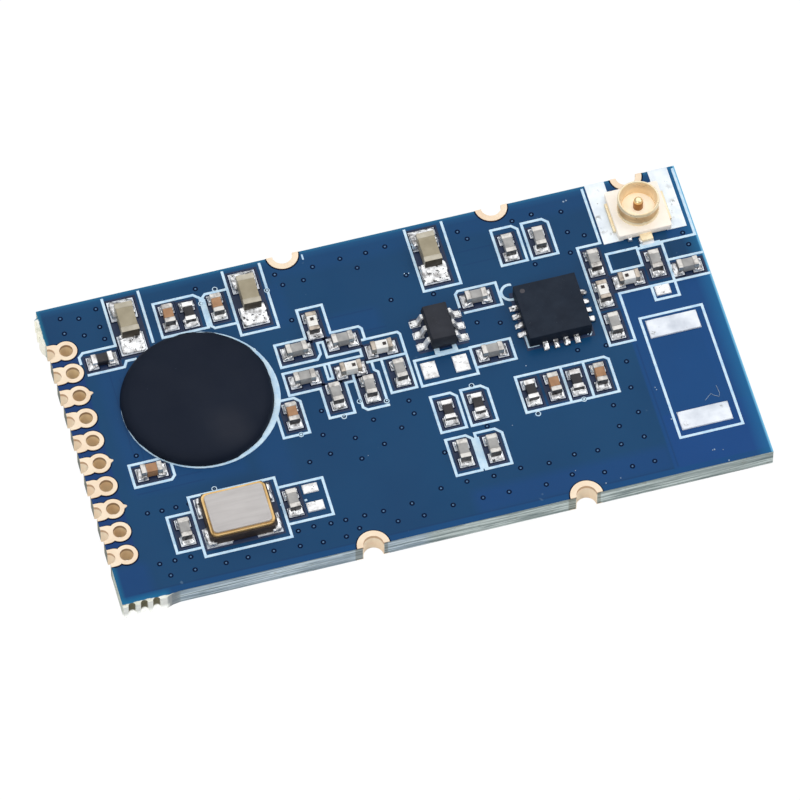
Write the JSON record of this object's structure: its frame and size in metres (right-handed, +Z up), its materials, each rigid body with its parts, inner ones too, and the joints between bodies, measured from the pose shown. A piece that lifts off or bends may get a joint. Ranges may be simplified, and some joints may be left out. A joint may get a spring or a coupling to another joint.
{
  "type": "wireless transceiver module",
  "caption": "Small blue circuit board module with a black epoxy glob, chip parts, a crystal, a coaxial antenna socket and a row of plated edge pads.",
  "frame": {"origin": "centre of the board's flat underside, broken tabs left out", "axes": "+X along the board from the row of edge pads to the antenna socket's end, +Y to the long edge beside the antenna socket, +Z up out of the face with the parts"},
  "size_m": [0.0312, 0.0166, 0.0023],
  "materials": {
    "solder_mask": "blue epoxy-glass board under a satin blue lacquer",
    "gold_plating": "thin pale gold plating, satin",
    "solder": "bright reflowed solder",
    "legend_ink": "flat white ink",
    "epoxy": "matt near-black epoxy",
    "black_moulding": "fine matt black moulding",
    "black_ceramic": "dark fired ceramic",
    "lid_metal": "grey plated lid, satin",
    "cream_plastic": "cream moulded plastic",
    "tan_ceramic": "fired tan ceramic",
    "brown_ceramic": "fired brown ceramic",
    "grey_ceramic": "fired grey ceramic",
    "white_ceramic": "white ceramic with a dark mark",
    "dark_chip": "dark glassy overcoat"
  },
  "bodies": {
    "root": {"board": "solder_mask", "edge_pads": "gold_plating", "side_pads": "gold_plating", "component_lands": "gold_plating", "solder_fillets": "solder", "legend_print": "legend_ink", "epoxy_glob": "epoxy", "radio_body": "black_moulding", "radio_terminals": "solder", "switch_body": "black_moulding", "switch_leads": "solder", "crystal_base": "black_ceramic", "crystal_seal_ring": "gold_plating", "crystal_lid": "lid_metal", "coax_base": "cream_plastic", "coax_shell": "gold_plating", "coax_contact": "gold_plating", "brown_capacitor_1": "brown_ceramic", "brown_capacitor_2": "brown_ceramic", "brown_capacitor_3": "brown_ceramic", "brown_capacitor_4": "brown_ceramic", "brown_capacitor_5": "brown_ceramic", "brown_capacitor_6": "brown_ceramic", "resistor_1": "dark_chip", "resistor_2": "dark_chip", "resistor_3": "dark_chip", "resistor_4": "dark_chip", "resistor_5": "dark_chip", "resistor_6": "dark_chip", "inductor_1": "white_ceramic", "inductor_2": "white_ceramic", "inductor_3": "white_ceramic", "inductor_4": "white_ceramic", "inductor_5": "white_ceramic", "grey_capacitor_1": "grey_ceramic", "grey_capacitor_2": "grey_ceramic", "grey_capacitor_3": "grey_ceramic", "grey_capacitor_4": "grey_ceramic", "grey_capacitor_5": "grey_ceramic", "grey_capacitor_6": "grey_ceramic", "grey_capacitor_7": "grey_ceramic", "grey_capacitor_8": "grey_ceramic", "grey_capacitor_9": "grey_ceramic", "grey_capacitor_10": "grey_ceramic", "grey_capacitor_11": "grey_ceramic", "grey_capacitor_12": "grey_ceramic", "grey_capacitor_13": "grey_ceramic", "grey_capacitor_14": "grey_ceramic", "grey_capacitor_15": "grey_ceramic", "grey_capacitor_16": "grey_ceramic", "grey_capacitor_17": "grey_ceramic", "grey_capacitor_18": "grey_ceramic", "large_capacitor_1": "tan_ceramic", "large_capacitor_2": "tan_ceramic", "large_capacitor_3": "tan_ceramic"}
  },
  "joints": []
}
